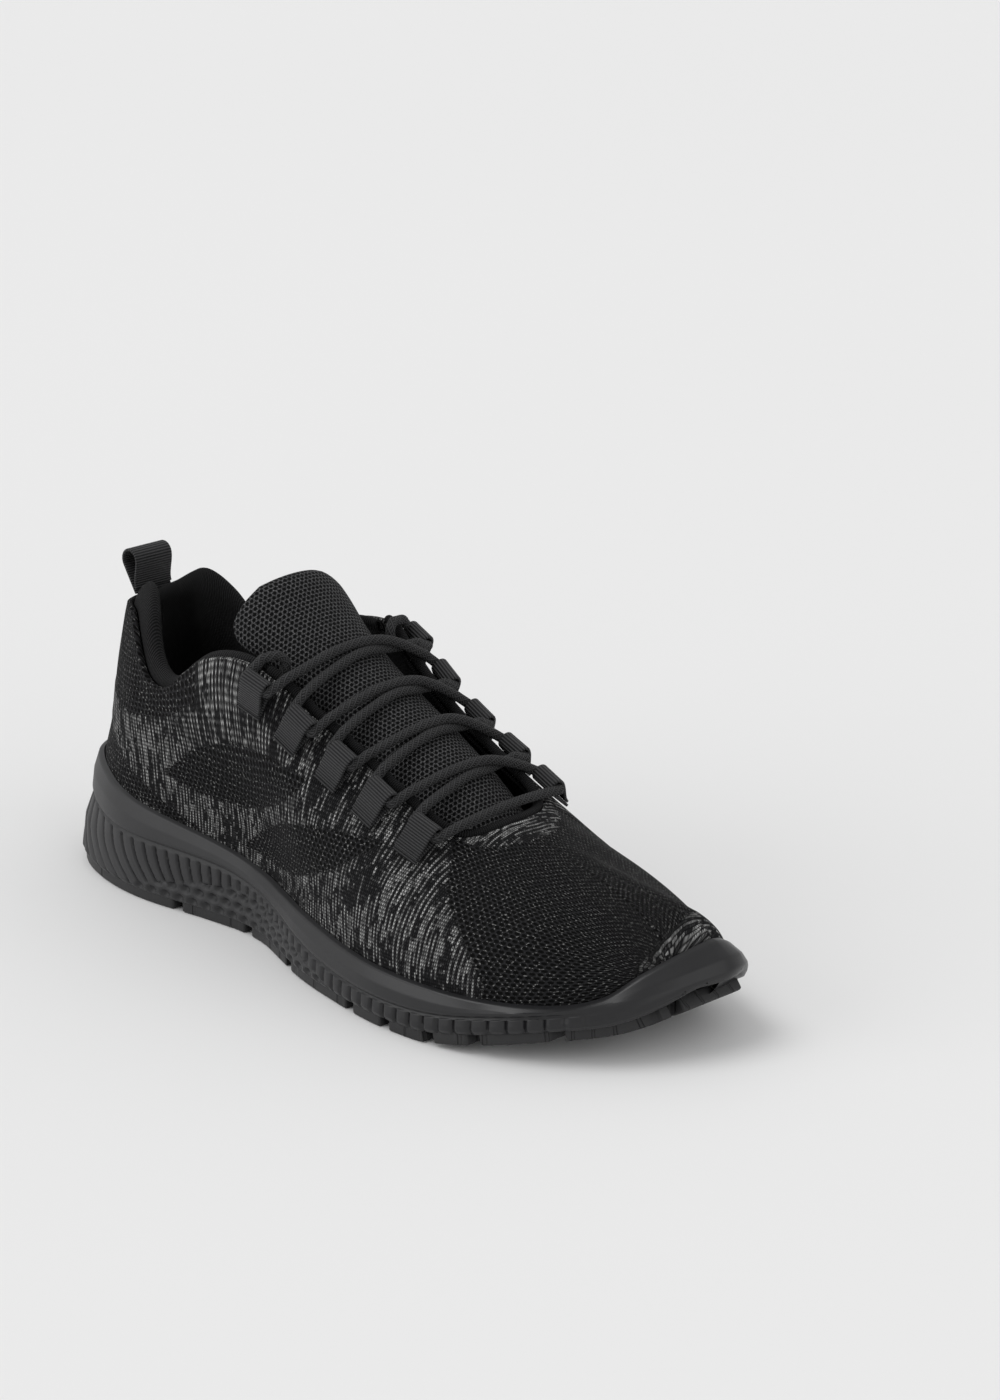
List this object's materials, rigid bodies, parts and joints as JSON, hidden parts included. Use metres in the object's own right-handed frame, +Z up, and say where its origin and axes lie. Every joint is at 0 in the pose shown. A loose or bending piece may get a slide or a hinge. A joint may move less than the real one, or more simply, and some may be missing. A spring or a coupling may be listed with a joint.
{
  "type": "running shoe",
  "caption": "Low-cut running shoe for the right foot: knitted upper on a one-piece foam sole with rubber pads, padded tongue and an elastic cord laced through webbing loops.",
  "frame": {"origin": "on the ground, under the middle of the shoe's bounding box", "axes": "+X from heel to toe, +Y towards the inner (medial) side of the foot, +Z up"},
  "size_m": [0.2994, 0.1072, 0.127],
  "materials": {
    "midsole_foam": "matte moulded EVA foam, fine ribs, smooth upper band",
    "outsole_rubber": "satin moulded rubber",
    "board": "non-woven insole board",
    "sock_fabric": "brushed sock liner fabric on foam",
    "knit": "heathered engineered knit with open mesh zones",
    "stiffener": "thermoplastic stiffener, hidden",
    "lining": "fine ribbed lining",
    "padding": "soft foam padding, hidden",
    "binding": "folded edge binding",
    "tongue_mesh": "open honeycomb spacer mesh",
    "cord": "round braided elastic cord",
    "webbing": "ribbed grosgrain webbing"
  },
  "bodies": {
    "shoe": {"midsole": "midsole_foam", "strobel_board": "board", "sock_liner": "sock_fabric", "outsole_pad_lateral_1": "outsole_rubber", "outsole_pad_lateral_2": "outsole_rubber", "outsole_pad_lateral_3": "outsole_rubber", "outsole_pad_lateral_4": "outsole_rubber", "outsole_pad_lateral_5": "outsole_rubber", "outsole_pad_lateral_6": "outsole_rubber", "outsole_pad_lateral_7": "outsole_rubber", "outsole_pad_lateral_8": "outsole_rubber", "outsole_pad_lateral_9": "outsole_rubber", "outsole_pad_medial_1": "outsole_rubber", "outsole_pad_medial_2": "outsole_rubber", "outsole_pad_medial_3": "outsole_rubber", "outsole_pad_medial_4": "outsole_rubber", "outsole_pad_medial_5": "outsole_rubber", "outsole_pad_medial_6": "outsole_rubber", "outsole_pad_medial_7": "outsole_rubber", "outsole_pad_medial_8": "outsole_rubber", "outsole_pad_medial_9": "outsole_rubber", "knit_upper": "knit", "heel_counter": "stiffener", "toe_puff": "stiffener", "vamp_lining": "lining", "collar_lining": "lining", "collar_foam": "padding", "throat_binding": "binding", "lace_loop_lateral_1": "webbing", "lace_loop_lateral_2": "webbing", "lace_loop_lateral_3": "webbing", "lace_loop_lateral_4": "webbing", "lace_loop_lateral_5": "webbing", "lace_loop_medial_1": "webbing", "lace_loop_medial_2": "webbing", "lace_loop_medial_3": "webbing", "lace_loop_medial_4": "webbing", "lace_loop_medial_5": "webbing", "lace": "cord"},
    "tongue": {"tongue_mesh": "tongue_mesh", "tongue_foam": "padding", "tongue_lining": "lining"},
    "pull_tab": {"pull_tab": "webbing"}
  },
  "joints": [
    {"name": "tongue_hinge", "type": "hinge", "parent": "shoe", "child": "tongue", "pos_m": [0.068, 0.0023, 0.0545], "axis": [0, 1, 0], "range_deg": [-15, 12], "deforming": ["lace"]},
    {"name": "pull_tab_fold", "type": "hinge", "parent": "shoe", "child": "pull_tab", "pos_m": [-0.131, 0.0043, 0.0994], "axis": [0, 1, 0], "range_deg": [-45, 30], "stiffness_Nm_per_rad": 0.02}
  ]
}
